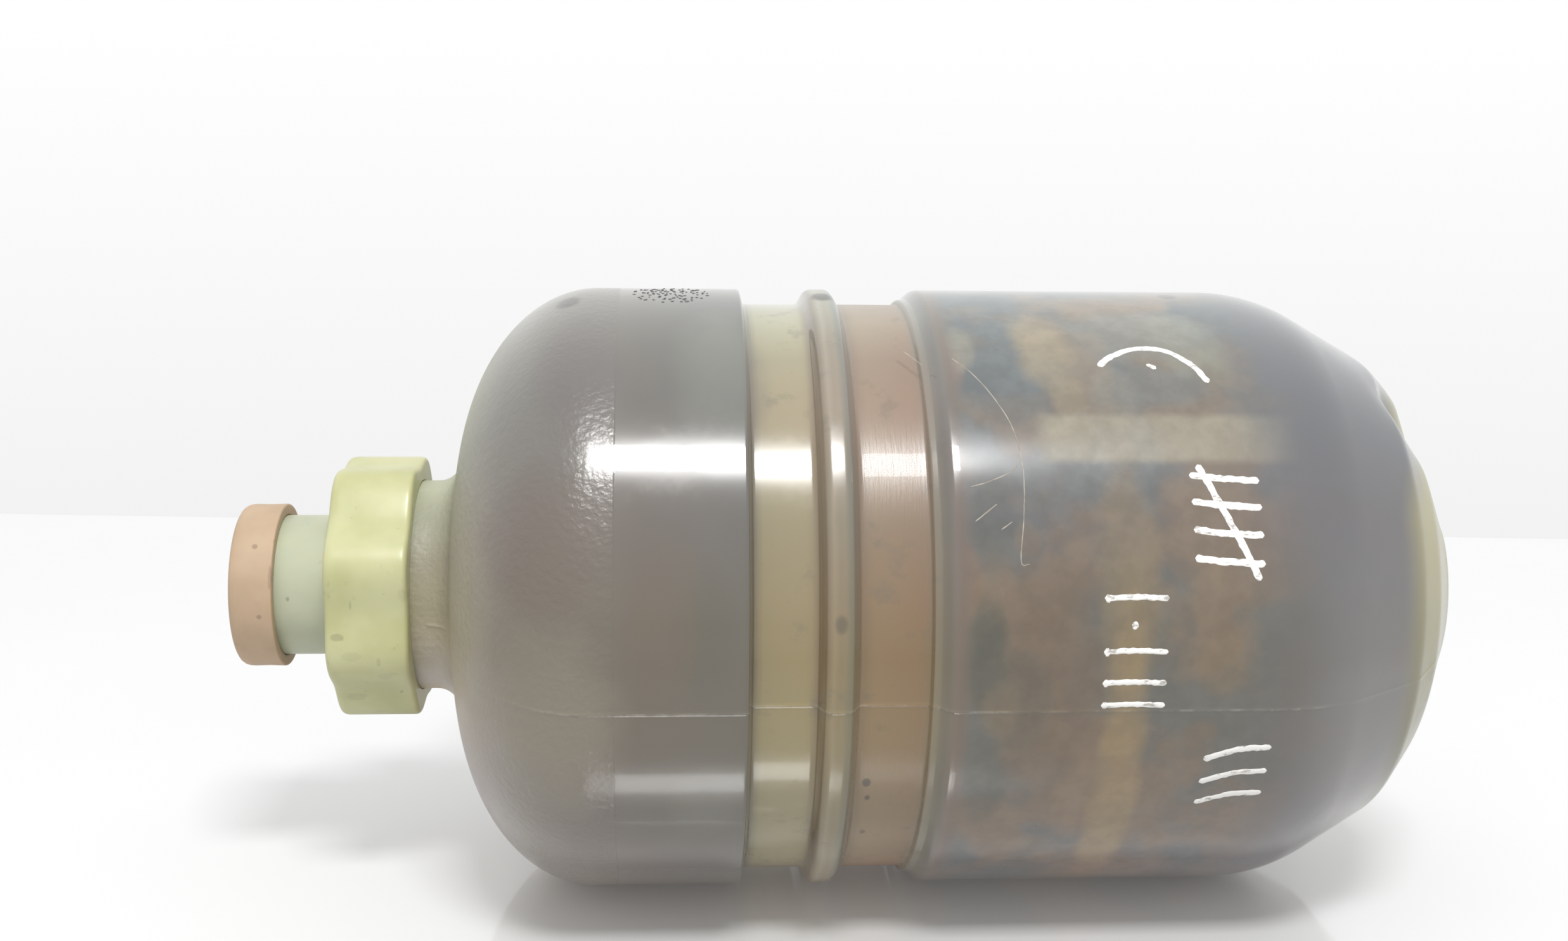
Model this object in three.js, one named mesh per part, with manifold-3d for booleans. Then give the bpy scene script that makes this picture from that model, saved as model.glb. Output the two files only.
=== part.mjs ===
// Fuel sample bottle of about 1.8 litres lying on its side: a blow-moulded body with two strap grooves,
// a hand nut that clamps a flanged spout on its neck, and a push-on cap over the spout.
// Units are millimetres. +Z is up, the bottle's axis lies along X with the neck towards -X.
// Every turned piece is drawn as [station, radius] points: the station is the distance along
// the axis from the cap's outer face, so that the whole bottle runs from station 0 to LENGTH.

import * as THREE from 'three';
import { mergeVertices } from 'three/addons/utils/BufferGeometryUtils.js';
import Module from 'manifold-3d';

// ---- driving dimensions -------------------------------------------------------------------

const LENGTH = 238; // cap face to standing ring
const BODY_R = 60; // outside of the barrel
const WALL = 2.2; // blow-moulded wall

const ROUND = 40; // facets round the large pieces
const SMALL_ROUND = 24; // facets round the small ones
const TINY_ROUND = 16; // facets round the pin and its bore
const SHOULDER_STEPS = 9; // facets along the shoulder
const CHAMFER_STEPS = 4; // along the blend into the chamfer
const CAP_EDGE_STEPS = 3; // along the cap's rounded edge
const EDGE_STEPS = 2; // along the neck's fillet and the nut's rounded edges
const LOBE_STEPS = 8; // round each lobe of the nut

// neck and its thread
const MOUTH = 28; // station of the neck's open end
const NECK_BORE_R = 16.4;
const NECK_CORE_R = 19.4;
const COLLAR_R = 21; // plain collar behind the thread
const COLLAR_START = 35.2; // just inside the nut's open end
const COLLAR_FILLET = 5;
const THREAD_PITCH = 3.8;
const THREAD_TURNS = 1.5;
const THREAD_DEPTH = 1.4;
const THREAD_ROOT_WIDTH = 1.8;
const THREAD_CREST_WIDTH = 0.9;
const THREAD_ROWS = 8; // rows of facets per pitch on the neck
const THREAD_SPAN = [28.4, 34.9]; // stations where the neck's thread starts and ends
const THREAD_RUN_OUT = 0.6; // length over which the neck's thread dies away
const NUT_THREAD_START = 27.3; // station of the middle of the nut thread's first end
const THREAD_CLEARANCE = 0.5; // radial, between the neck's thread and the nut's
const NUT_THREAD_FADE = 0.12; // share of the nut's thread over which each end dies away
const NUT_THREAD_LEAST = 0.3; // share of its height that is left at the very end
const NUT_THREAD_BURIED = 0.6; // depth of the ridge's root in the nut's wall

// shoulder, a quarter of an ellipse in section
const SHOULDER_END = 71;
const SHOULDER_LENGTH = 27.5;
const SHOULDER_RISE = BODY_R - COLLAR_R;

// strap grooves and the rib between them
const GROOVE_R = 57;
const GROOVE_EDGE = [[-1.4, 0], [-0.5, -0.8]]; // rounding before the first groove: station, radius
const GROOVE_FLOOR_1 = [99.6, 110.8];
const RIB_CREST = [112.8, 116.4];
const GROOVE_FLOOR_2 = [118.4, 130.6];
const LEDGE = [131.2, 132.2]; // low ledge beside the second groove
const LEDGE_R = 58.1;
const LEDGE_SLOPE = 0.2; // the ledge's fall towards the groove
const BARREL_EDGE = [1.4, -0.7]; // rounding behind the ledge: station, radius
const BARREL_START = 136;
const INNER_ROUNDING = 0.9; // half length of the slopes inside the wall, which is rounder inside

// base: a rounded chamfer, a knuckle, a shallow dome and a standing ring round a push-up
const CHAMFER_START = 193;
const CHAMFER_BLEND_R = 33;
const CHAMFER_ANGLE = THREE.MathUtils.degToRad(31.4);
const KNUCKLE = [222.8, 48.1];
const DOME = [[225, 45.9], [229.4, 40.2], [233.2, 33.6], [236.4, 27.2]];
const RING_R = [25, 20.5]; // outer and inner edge of the flat standing ring
const PUSH_UP = [[236.8, 18.6], [235.4, 13], [234.6, 6], [234.4, 0]];

// shallow groove straight across the base, with a low lip along its upper side
const BASE_GROOVE_ANGLE = THREE.MathUtils.degToRad(60); // from -Y towards +Z
const BASE_GROOVE_DEPTH = 4.5;
const BASE_GROOVE_WIDTH = 5.5; // half width where the depth has fallen to 1/e
const BASE_GROOVE_SPAN = [10, 17, 42, 51]; // radii: starts, is full, is full until, has gone
const BASE_LIP_HEIGHT = 1;
const BASE_LIP_OFFSET = 12; // from the middle of the groove to the middle of the lip
const BASE_LIP_SPAN = [25, 33]; // radii: starts outside the standing ring, has its full height

// hand nut
const NUT_START = 19.8;
const NUT_END = 35.6;
const NUT_CREST_R = 26.2;
const NUT_VALLEY_R = 24.2;
const NUT_LOBES = 8;
const NUT_LOBE_ANGLE = THREE.MathUtils.degToRad(23); // of one lobe, in the outline's own plane
const NUT_EDGE = 1.2; // rounding of its edges
const NUT_LIP = 2.6; // thickness of the lip that holds the flange
const NUT_HOLE_R = 14.5;
const CUT_OVERSHOOT = 1; // how far a cutter runs past the face it cuts

// spout
const SPOUT_START = 3.6;
const SPOUT_R = 14;
const SPOUT_BORE_R = 11.8;
const FLANGE_R = 19.3;
const FLANGE = [23.8, 26];
const SPIGOT_R = 15.9;
const SPIGOT_END = 34.8;
const SEAT_START = 27.5; // counterbore for the strainer
const SEAT_R = 13.7;
const SNAP_GROOVE = [32.3, 33.9];
const SNAP_GROOVE_R = 14.5;

// washer and gasket on either side of the flange
const WASHER = [22.7, 23.5];
const GASKET = [26.3, 27.7];
const RING_OUTER_R = 19.1;
const RING_CLEARANCE = 0.4; // radial, inside both

// cap
const CAP_R = 16.3;
const CAP_END = 8.5;
const CAP_BORE_R = 14.4;
const CAP_FLOOR = 2;
const CAP_EDGE = 1.7;
const LINER = [2.3, 3.3];
const LINER_R = 13.9;

// drain probe and strainer, inside the spout
const SPIDER = [27.8, 30];
const SPIDER_RING_R = [11.2, 13.4]; // inner and outer radius of its rim
const HUB_R = 3.4;
const HUB_BORE_R = 1.5;
const HUB_BORE_END = 29.2;
const SPOKE_WIDTH = 2;
const SPOKES = 3;
const SPOKE_OVERLAP = 1; // how far a spoke runs into the hub and into the rim
const SPOKE_RECESS = 0.2; // how far a spoke lies below each face of the rim
const PIN_R = 1.2;
const PIN = [5, 29];
const PIN_TIP = 1; // length of its pointed end
const PIN_COLLAR = [26.3, 27.5];
const PIN_COLLAR_R = 2.6;
const GAUZE = [30.3, 30.7];
const GAUZE_R = 13.4;
const CLAMP_RING = [31, 32.3];
const CLAMP_RING_R = [11.2, 13.4];
const SNAP_RING = [32.6, 33.6];
const SNAP_RING_R = [12.3, 14.2];
const SNAP_RING_OPENING = THREE.MathUtils.degToRad(28);

// ---- solids ---------------------------------------------------------------------------------

const wasm = await Module();
wasm.setup();

// Joins shared vertices and drops the triangles that a lathe leaves flat on its axis.
function merged(geometry) {
  const bare = geometry.clone();
  bare.deleteAttribute('normal');
  bare.deleteAttribute('uv');
  const closed = mergeVertices(bare, 1e-4);
  const corners = closed.index.array;
  const kept = [];
  for (let i = 0; i < corners.length; i += 3) {
    const [a, b, c] = corners.slice(i, i + 3);
    if (a !== b && b !== c && c !== a) kept.push(a, b, c);
  }
  closed.setIndex(kept);
  return closed;
}

function toSolid(geometry) {
  const closed = merged(geometry);
  const vertProperties = new Float32Array(closed.attributes.position.array);
  const triVerts = new Uint32Array(closed.index.array);
  const mesh = new wasm.Mesh({ numProp: 3, vertProperties, triVerts });
  return new wasm.Manifold(mesh);
}

function toGeometry(solid) {
  const mesh = solid.getMesh();
  const geometry = new THREE.BufferGeometry();
  geometry.setAttribute('position', new THREE.BufferAttribute(mesh.vertProperties, 3));
  geometry.setIndex(new THREE.BufferAttribute(mesh.triVerts, 1));
  geometry.computeVertexNormals();
  return geometry;
}

// Turns a closed profile round the X axis. The facets' flats, not their corners, lie at the
// stated radii, and one flat faces straight down.
function turned(profile, segments) {
  const stretch = 1 / Math.cos(Math.PI / segments);
  const points = profile.map(([station, r]) => new THREE.Vector2(r * stretch, station));
  const onAxis = profile[0][1] === 0;
  if (!onAxis) points.push(points[0].clone());
  const geometry = new THREE.LatheGeometry(points, segments, Math.PI / segments);
  geometry.rotateZ(-Math.PI / 2);
  return geometry;
}

// Ring of rectangular section between two stations and two radii.
function ring([start, end], innerR, outerR, segments) {
  const profile = [[start, innerR], [start, outerR], [end, outerR], [end, innerR]];
  return turned(profile, segments);
}

function disc([start, end], r, segments) {
  return turned([[start, 0], [start, r], [end, r], [end, 0]], segments);
}

// Points of an elliptical arc in the [station, radius] plane, both ends included.
function arc(station, radius, stationHalf, radiusHalf, from, to, steps) {
  const points = [];
  for (let i = 0; i <= steps; i++) {
    const angle = THREE.MathUtils.lerp(from, to, i / steps);
    points.push([station + stationHalf * Math.cos(angle), radius + radiusHalf * Math.sin(angle)]);
  }
  return points;
}

// Moves an open profile inwards by a distance, along the bisector at each point.
function inset(profile, distance) {
  return profile.map(([station, radius], i) => {
    const before = profile[Math.max(i - 1, 0)];
    const after = profile[Math.min(i + 1, profile.length - 1)];
    const here = new THREE.Vector2(station, radius);
    const legs = [];
    if (i > 0) legs.push(here.clone().sub(new THREE.Vector2(...before)).normalize());
    if (i < profile.length - 1) legs.push(new THREE.Vector2(...after).sub(here).normalize());
    const along = legs.reduce((sum, leg) => sum.add(leg), new THREE.Vector2()).normalize();
    const reach = distance / along.dot(legs[0]);
    return [station + reach * along.y, radius === 0 ? 0 : radius - reach * along.x];
  });
}

// Helical ridge of trapezoid section: a long thin box wound round the X axis. It dies away at
// both ends. rootR is buried in the nut's wall and crestR is the free edge.
function nutThread(rootR, crestR) {
  const steps = Math.round(THREAD_TURNS * ROUND);
  const geometry = new THREE.BoxGeometry(1, 1, 1, 1, 1, steps);
  const position = geometry.attributes.position;
  for (let i = 0; i < position.count; i++) {
    const along = position.getZ(i) + 0.5;
    const atCrest = position.getY(i) > 0;
    const strength = Math.min(1, along / NUT_THREAD_FADE, (1 - along) / NUT_THREAD_FADE);
    const width = atCrest ? THREAD_CREST_WIDTH : THREAD_ROOT_WIDTH;
    const height = (crestR - rootR) * Math.max(strength, NUT_THREAD_LEAST);
    const r = atCrest ? rootR + height : rootR;
    const angle = along * THREAD_TURNS * 2 * Math.PI;
    const station = NUT_THREAD_START + (1 - along) * THREAD_TURNS * THREAD_PITCH;
    position.setXYZ(
      i,
      station + position.getX(i) * width,
      r * Math.cos(angle),
      -r * Math.sin(angle),
    );
  }
  return geometry;
}

// ---- the bottle -------------------------------------------------------------------------------

function shoulder(wall) {
  const radiusHalf = SHOULDER_RISE - wall;
  const stationHalf = SHOULDER_LENGTH - wall;
  const start = wall === 0 ? Math.PI - Math.asin(COLLAR_FILLET / radiusHalf) : Math.PI;
  return arc(SHOULDER_END, COLLAR_R, stationHalf, radiusHalf, start, Math.PI / 2, SHOULDER_STEPS);
}

function baseProfile() {
  const blend = arc(
    CHAMFER_START,
    BODY_R - CHAMFER_BLEND_R,
    CHAMFER_BLEND_R,
    CHAMFER_BLEND_R,
    Math.PI / 2,
    Math.PI / 2 - CHAMFER_ANGLE,
    CHAMFER_STEPS,
  );
  const standing = RING_R.map((r) => [LENGTH, r]);
  return [...blend, KNUCKLE, ...DOME, ...standing, ...PUSH_UP];
}

function outerProfile() {
  const filletStation = SHOULDER_END - SHOULDER_LENGTH - COLLAR_FILLET;
  const fillet = arc(
    filletStation,
    COLLAR_R + COLLAR_FILLET,
    COLLAR_FILLET,
    COLLAR_FILLET,
    -Math.PI / 2,
    -Math.PI / 8,
    EDGE_STEPS,
  );
  const rowHeight = THREAD_PITCH / THREAD_ROWS;
  const [threadStart, threadEnd] = THREAD_SPAN;
  const rows = Math.floor((threadEnd - threadStart) / rowHeight);
  const threaded = Array.from({ length: rows + 1 }, (_, i) => [
    threadStart + i * rowHeight,
    NECK_CORE_R,
  ]);
  const grooveEdge = GROOVE_EDGE.map(([along, out]) => [GROOVE_FLOOR_1[0] + along, BODY_R + out]);
  return [
    [MOUTH, NECK_CORE_R],
    ...threaded,
    [COLLAR_START, NECK_CORE_R],
    [COLLAR_START, COLLAR_R],
    ...fillet,
    ...shoulder(0),
    ...grooveEdge,
    [GROOVE_FLOOR_1[0], GROOVE_R],
    [GROOVE_FLOOR_1[1], GROOVE_R],
    [RIB_CREST[0], BODY_R],
    [RIB_CREST[1], BODY_R],
    [GROOVE_FLOOR_2[0], GROOVE_R],
    [GROOVE_FLOOR_2[1], GROOVE_R],
    [LEDGE[0], LEDGE_R - LEDGE_SLOPE],
    [LEDGE[1], LEDGE_R],
    [LEDGE[1] + BARREL_EDGE[0], BODY_R + BARREL_EDGE[1]],
    [BARREL_START, BODY_R],
    ...baseProfile(),
  ];
}

function innerProfile() {
  const grooveInner = GROOVE_R - WALL;
  const bodyInner = BODY_R - WALL;
  return [
    [MOUTH, NECK_BORE_R],
    [SHOULDER_END - SHOULDER_LENGTH + WALL, NECK_BORE_R],
    ...shoulder(WALL),
    [GROOVE_FLOOR_1[0] - WALL, bodyInner],
    [GROOVE_FLOOR_1[0] - WALL + INNER_ROUNDING / 2, grooveInner],
    [RIB_CREST[0] - INNER_ROUNDING, grooveInner],
    [RIB_CREST[0] + INNER_ROUNDING, bodyInner],
    [RIB_CREST[1] - INNER_ROUNDING, bodyInner],
    [RIB_CREST[1] + INNER_ROUNDING, grooveInner],
    [LEDGE[1], grooveInner],
    [BARREL_START + INNER_ROUNDING, bodyInner],
    ...inset(baseProfile(), WALL),
  ];
}

// Presses the groove across the base: vertices of the dome and the ring move towards the neck,
// and those of the lip beside it move the other way.
function pressBaseGroove(geometry) {
  const position = geometry.attributes.position;
  const [innerStart, innerFull, outerFull, outerEnd] = BASE_GROOVE_SPAN;
  for (let i = 0; i < position.count; i++) {
    const station = position.getX(i);
    if (station < CHAMFER_START) continue;
    const y = position.getY(i);
    const z = position.getZ(i);
    const across = y * Math.sin(BASE_GROOVE_ANGLE) + z * Math.cos(BASE_GROOVE_ANGLE);
    const r = Math.hypot(y, z);
    const inside = THREE.MathUtils.smoothstep(r, innerStart, innerFull);
    const outside = 1 - THREE.MathUtils.smoothstep(r, outerFull, outerEnd);
    const groove = BASE_GROOVE_DEPTH * Math.exp(-((across / BASE_GROOVE_WIDTH) ** 2));
    const fromLip = (across - BASE_LIP_OFFSET) / BASE_GROOVE_WIDTH;
    const lipped = THREE.MathUtils.smoothstep(r, ...BASE_LIP_SPAN);
    const lip = BASE_LIP_HEIGHT * Math.exp(-(fromLip ** 2)) * lipped;
    position.setX(i, station + (lip - groove * inside) * outside);
  }
}

// Raises the thread on the neck: a ridge that winds half a pitch away from the nut's.
function raiseNeckThread(geometry) {
  const position = geometry.attributes.position;
  const flank = (THREAD_ROOT_WIDTH - THREAD_CREST_WIDTH) / 2;
  for (let i = 0; i < position.count; i++) {
    const station = position.getX(i);
    const fromEnd = Math.min(station - THREAD_SPAN[0], THREAD_SPAN[1] - station);
    const y = position.getY(i);
    const z = position.getZ(i);
    const r = Math.hypot(y, z);
    if (fromEnd < 0 || r < (NECK_BORE_R + NECK_CORE_R) / 2 || r > COLLAR_R) continue;
    const turn = (station - NUT_THREAD_START) / THREAD_PITCH + Math.atan2(-z, y) / (2 * Math.PI);
    const sinceNutRidge = turn - THREAD_TURNS - Math.floor(turn - THREAD_TURNS);
    const fromRidge = Math.abs(sinceNutRidge - 0.5) * THREAD_PITCH;
    const height = THREE.MathUtils.clamp((THREAD_ROOT_WIDTH / 2 - fromRidge) / flank, 0, 1);
    const raised = r + THREAD_DEPTH * height * Math.min(1, fromEnd / THREAD_RUN_OUT);
    position.setY(i, (y * raised) / r);
    position.setZ(i, (z * raised) / r);
  }
}

function bottleBody() {
  // from the axis along the inside to the mouth, and back along the outside to the axis
  const geometry = turned([...innerProfile().reverse(), ...outerProfile()], ROUND);
  pressBaseGroove(geometry);
  raiseNeckThread(geometry);
  return geometry;
}

// ---- the hand nut -------------------------------------------------------------------------------

function handNut() {
  const steps = NUT_LOBES * LOBE_STEPS;
  const middle = (NUT_CREST_R + NUT_VALLEY_R) / 2;
  const swing = (NUT_CREST_R - NUT_VALLEY_R) / 2;
  const outline = Array.from({ length: steps }, (_, i) => {
    const angle = (i / steps) * 2 * Math.PI;
    const r = middle + swing * Math.cos(NUT_LOBES * (angle - NUT_LOBE_ANGLE));
    return new THREE.Vector2(r * Math.cos(angle), r * Math.sin(angle));
  });
  const blank = new THREE.ExtrudeGeometry(new THREE.Shape(outline), {
    depth: NUT_END - NUT_START - 2 * NUT_EDGE,
    bevelThickness: NUT_EDGE,
    bevelSize: NUT_EDGE,
    bevelOffset: -NUT_EDGE,
    bevelSegments: EDGE_STEPS,
    steps: 1,
  });
  blank.translate(0, 0, NUT_EDGE);
  blank.rotateY(Math.PI / 2);
  blank.translate(NUT_START, 0, 0);

  const rootR = NECK_CORE_R + THREAD_DEPTH + THREAD_CLEARANCE;
  const crestR = NECK_CORE_R + THREAD_CLEARANCE;
  const seat = NUT_START + NUT_LIP;
  const hole = disc([NUT_START - CUT_OVERSHOOT, seat + CUT_OVERSHOOT], NUT_HOLE_R, ROUND);
  const bore = disc([seat, NUT_END + CUT_OVERSHOOT], rootR, ROUND);
  const ridge = nutThread(rootR + NUT_THREAD_BURIED, crestR);
  const nut = toSolid(blank).subtract(toSolid(hole)).subtract(toSolid(bore)).add(toSolid(ridge));
  return toGeometry(nut);
}

// ---- the spout and what it carries ----------------------------------------------------------------

function spoutTube() {
  return turned(
    [
      [SPOUT_START, SPOUT_BORE_R],
      [SPOUT_START, SPOUT_R],
      [FLANGE[0], SPOUT_R],
      [FLANGE[0], FLANGE_R],
      [FLANGE[1], FLANGE_R],
      [FLANGE[1], SPIGOT_R],
      [SPIGOT_END, SPIGOT_R],
      [SPIGOT_END, SEAT_R],
      [SNAP_GROOVE[1], SEAT_R],
      [SNAP_GROOVE[1], SNAP_GROOVE_R],
      [SNAP_GROOVE[0], SNAP_GROOVE_R],
      [SNAP_GROOVE[0], SEAT_R],
      [SEAT_START, SEAT_R],
      [SEAT_START, SPOUT_BORE_R],
    ],
    ROUND,
  );
}

function pinSpider() {
  const [start, end] = SPIDER;
  const [rimInner, rimOuter] = SPIDER_RING_R;
  const rim = ring(SPIDER, rimInner, rimOuter, SMALL_ROUND);
  let spider = toSolid(rim).add(toSolid(disc(SPIDER, HUB_R, SMALL_ROUND)));
  for (let i = 0; i < SPOKES; i++) {
    const from = HUB_R - SPOKE_OVERLAP;
    const to = rimInner + SPOKE_OVERLAP;
    const spoke = new THREE.BoxGeometry(end - start - 2 * SPOKE_RECESS, to - from, SPOKE_WIDTH);
    spoke.translate((start + end) / 2, (from + to) / 2, 0);
    spoke.rotateX((i / SPOKES) * 2 * Math.PI);
    spider = spider.add(toSolid(spoke));
  }
  const bore = disc([start - CUT_OVERSHOOT, HUB_BORE_END], HUB_BORE_R, TINY_ROUND);
  return toGeometry(spider.subtract(toSolid(bore)));
}

function probePin() {
  return turned(
    [
      [PIN[0], 0],
      [PIN[0] + PIN_TIP, PIN_R],
      [PIN_COLLAR[0], PIN_R],
      [PIN_COLLAR[0], PIN_COLLAR_R],
      [PIN_COLLAR[1], PIN_COLLAR_R],
      [PIN_COLLAR[1], PIN_R],
      [PIN[1], PIN_R],
      [PIN[1], 0],
    ],
    TINY_ROUND,
  );
}

function snapRing() {
  const [inner, outer] = SNAP_RING_R;
  const from = SNAP_RING_OPENING / 2;
  const to = 2 * Math.PI - from;
  const outline = new THREE.Shape();
  outline.absarc(0, 0, outer, from, to, false);
  outline.absarc(0, 0, inner, to, from, true);
  const geometry = new THREE.ExtrudeGeometry(outline, {
    depth: SNAP_RING[1] - SNAP_RING[0],
    bevelEnabled: false,
    curveSegments: SMALL_ROUND,
  });
  geometry.rotateY(Math.PI / 2);
  geometry.translate(SNAP_RING[0], 0, 0);
  return geometry;
}

// ---- the cap ----------------------------------------------------------------------------------------

function endCap() {
  const edge = arc(CAP_EDGE, CAP_R - CAP_EDGE, CAP_EDGE, CAP_EDGE, Math.PI, Math.PI / 2, CAP_EDGE_STEPS);
  return turned(
    [
      [0, 0],
      ...edge,
      [CAP_END, CAP_R],
      [CAP_END, CAP_BORE_R],
      [CAP_FLOOR, CAP_BORE_R],
      [CAP_FLOOR, 0],
    ],
    ROUND,
  );
}

// ---- assembly ---------------------------------------------------------------------------------------

const looks = {
  body: { color: 0x8a7d6f, roughness: 0.35, metalness: 0 },
  nut: { color: 0xdcdca6, roughness: 0.35, metalness: 0 },
  spout: { color: 0xc9ceb4, roughness: 0.4, metalness: 0 },
  cap: { color: 0xdfae8c, roughness: 0.6, metalness: 0 },
  washer: { color: 0xe8e6dc, roughness: 0.5, metalness: 0 },
  rubber: { color: 0x2b2a28, roughness: 0.8, metalness: 0 },
  brass: { color: 0xb08d45, roughness: 0.35, metalness: 1 },
  steel: { color: 0xb4b6b8, roughness: 0.35, metalness: 1 },
};

function piece(name, geometry, look) {
  const mesh = new THREE.Mesh(geometry, new THREE.MeshStandardMaterial(look));
  mesh.name = name;
  return mesh;
}

const capUnit = new THREE.Group();
capUnit.add(piece('end_cap', endCap(), looks.cap));
capUnit.add(piece('cap_liner', disc(LINER, LINER_R, SMALL_ROUND), looks.washer));

const slipWasher = ring(WASHER, SPOUT_R + RING_CLEARANCE, RING_OUTER_R, SMALL_ROUND);
const flangeGasket = ring(GASKET, SPIGOT_R + RING_CLEARANCE, RING_OUTER_R, SMALL_ROUND);
const strainerRing = ring(CLAMP_RING, ...CLAMP_RING_R, SMALL_ROUND);

const spoutUnit = new THREE.Group();
spoutUnit.add(piece('spout_tube', spoutTube(), looks.spout));
spoutUnit.add(piece('slip_washer', slipWasher, looks.washer));
spoutUnit.add(piece('flange_gasket', flangeGasket, looks.rubber));
spoutUnit.add(piece('pin_spider', pinSpider(), looks.brass));
spoutUnit.add(piece('probe_pin', probePin(), looks.steel));
spoutUnit.add(piece('strainer_gauze', disc(GAUZE, GAUZE_R, SMALL_ROUND), looks.steel));
spoutUnit.add(piece('strainer_ring', strainerRing, looks.brass));
spoutUnit.add(piece('snap_ring', snapRing(), looks.steel));

const bottle = new THREE.Group();
bottle.add(piece('bottle_body', bottleBody(), looks.body));
bottle.add(piece('hand_nut', handNut(), looks.nut));
bottle.add(spoutUnit, capUnit);
bottle.position.set(-LENGTH / 2, 0, BODY_R);

const sampler = new THREE.Group();
sampler.add(bottle);

export default sampler;
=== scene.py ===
"""Looks of a 1.8-litre fuel sample bottle that lies on its side on a pale table.

Every turned piece is drawn as (station, radius) points in millimetres. A station is the distance
along the bottle's axis from the cap's outer face, and a bearing is the angle round that axis, in
degrees, from the side that faces the camera (-Y) towards the top (+Z)."""

import math

import bmesh
import bpy
import numpy as np
from mathutils import Matrix, Vector


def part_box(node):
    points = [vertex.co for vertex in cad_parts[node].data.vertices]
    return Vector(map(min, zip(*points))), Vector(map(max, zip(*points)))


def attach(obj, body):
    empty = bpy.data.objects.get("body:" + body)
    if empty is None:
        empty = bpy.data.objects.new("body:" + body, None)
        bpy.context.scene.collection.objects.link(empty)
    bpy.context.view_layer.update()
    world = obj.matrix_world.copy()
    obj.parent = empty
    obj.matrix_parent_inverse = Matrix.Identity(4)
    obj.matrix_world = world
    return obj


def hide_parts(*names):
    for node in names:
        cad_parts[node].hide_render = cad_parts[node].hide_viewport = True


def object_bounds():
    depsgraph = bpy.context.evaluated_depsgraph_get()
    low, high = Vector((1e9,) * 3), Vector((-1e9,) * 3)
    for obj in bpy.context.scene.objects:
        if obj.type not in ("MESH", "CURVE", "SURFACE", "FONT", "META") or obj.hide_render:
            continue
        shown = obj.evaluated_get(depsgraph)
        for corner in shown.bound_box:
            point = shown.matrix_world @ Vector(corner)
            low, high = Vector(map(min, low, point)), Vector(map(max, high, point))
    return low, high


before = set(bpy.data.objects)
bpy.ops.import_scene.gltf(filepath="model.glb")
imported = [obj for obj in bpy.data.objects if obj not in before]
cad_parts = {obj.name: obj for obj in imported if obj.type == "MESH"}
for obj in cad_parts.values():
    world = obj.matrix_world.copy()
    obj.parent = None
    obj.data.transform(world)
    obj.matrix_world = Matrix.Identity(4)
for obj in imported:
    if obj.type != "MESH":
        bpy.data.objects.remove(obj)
cad_low, cad_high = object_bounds()

# ---- the frame's own measures ----

MM = 0.001
FACE_X = cad_low.x  # the cap's outer face
AXIS_Z = (cad_low.z + cad_high.z) / 2
LENGTH = (cad_high.x - cad_low.x) / MM
BODY_R = (cad_high.z - cad_low.z) / 2 / MM


def stations(node):
    """The first and last station of a CAD node."""
    low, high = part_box(node)
    return (low.x - FACE_X) / MM, (high.x - FACE_X) / MM


def outer_radius(node):
    low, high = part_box(node)
    return (high.z - low.z) / 2 / MM


MOUTH = stations("bottle_body")[0]
NUT_START, NUT_END = stations("hand_nut")
SPOUT_START, SPIGOT_END = stations("spout_tube")
CAP_END = stations("end_cap")[1]
CAP_R = outer_radius("end_cap")
FLANGE_R = outer_radius("spout_tube")
WASHER = stations("slip_washer")
GASKET = stations("flange_gasket")
SPIDER = stations("pin_spider")
PIN = stations("probe_pin")
GAUZE = stations("strainer_gauze")
CLAMP_RING = stations("strainer_ring")
SNAP_RING = stations("snap_ring")
LINER = stations("cap_liner")

# ---- sizes of what Blender draws, in millimetres ----

AROUND = 256  # facets round the large pieces
AROUND_SMALL = 96  # facets round the small ones
WALL = 2.2
GROOVE_R = BODY_R - 3
GROOVE_1 = (99.6, 110.8)  # floors of the strap grooves
RIB = (112.8, 116.4)
GROOVE_2 = (118.4, 130.6)
LEDGE = (131.2, 132.2)
BARREL_START = 136
SHOULDER_END = 71
SHOULDER_LENGTH = 27.5
CHAMFER_START = 193
CHAMFER_BLEND_R = 33
CHAMFER_ANGLE = math.radians(31.4)
KNUCKLE = (222.8, 48.1)
BASE_GROOVE_BEARING = math.radians(60)
BASE_GROOVE_DEPTH = 4.5
BASE_GROOVE_WIDTH = 5.5
BASE_LIP_HEIGHT = 1.0
BASE_LIP_OFFSET = 12
PUSH_UP_END = 234.4  # the middle of the base
SEAM_BEARINGS = (-8.2, 171.8)  # where the mould halves met
SEAM_HEIGHT = 0.12
SEAM_WIDTH = 0.3

NECK_BORE_R = 16.4
NECK_CORE_R = 19.4
COLLAR_R = 21
COLLAR_START = 35.2
COLLAR_FILLET = 5
THREAD_PITCH = 3.8
THREAD_DEPTH = 1.4
THREAD_SPAN = (28.4, 34.9)
THREAD_CLEARANCE = 0.5
THREAD_CREST = 0.9
THREAD_ROOT = 1.8
NUT_THREAD_START = 27.3
NUT_THREAD_TURNS = 1.5
NUT_MIDDLE_R = 25.2
NUT_SWING = 1.0
NUT_LOBES = 8
NUT_CREST_BEARING = 22
NUT_HOLE_R = 14.5
NUT_LIP = 2.6
NUT_BORE_R = NECK_CORE_R + THREAD_DEPTH + THREAD_CLEARANCE
NUT_THREAD_CREST_R = NECK_CORE_R + THREAD_CLEARANCE
SPOUT_R = 14
SPOUT_BORE_R = 11.8
SPIGOT_R = 15.9
SEAT_R = 13.7
SEAT_START = 27.5  # the step in the bore that the spider rests on
FLANGE = (23.8, 26)
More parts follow.
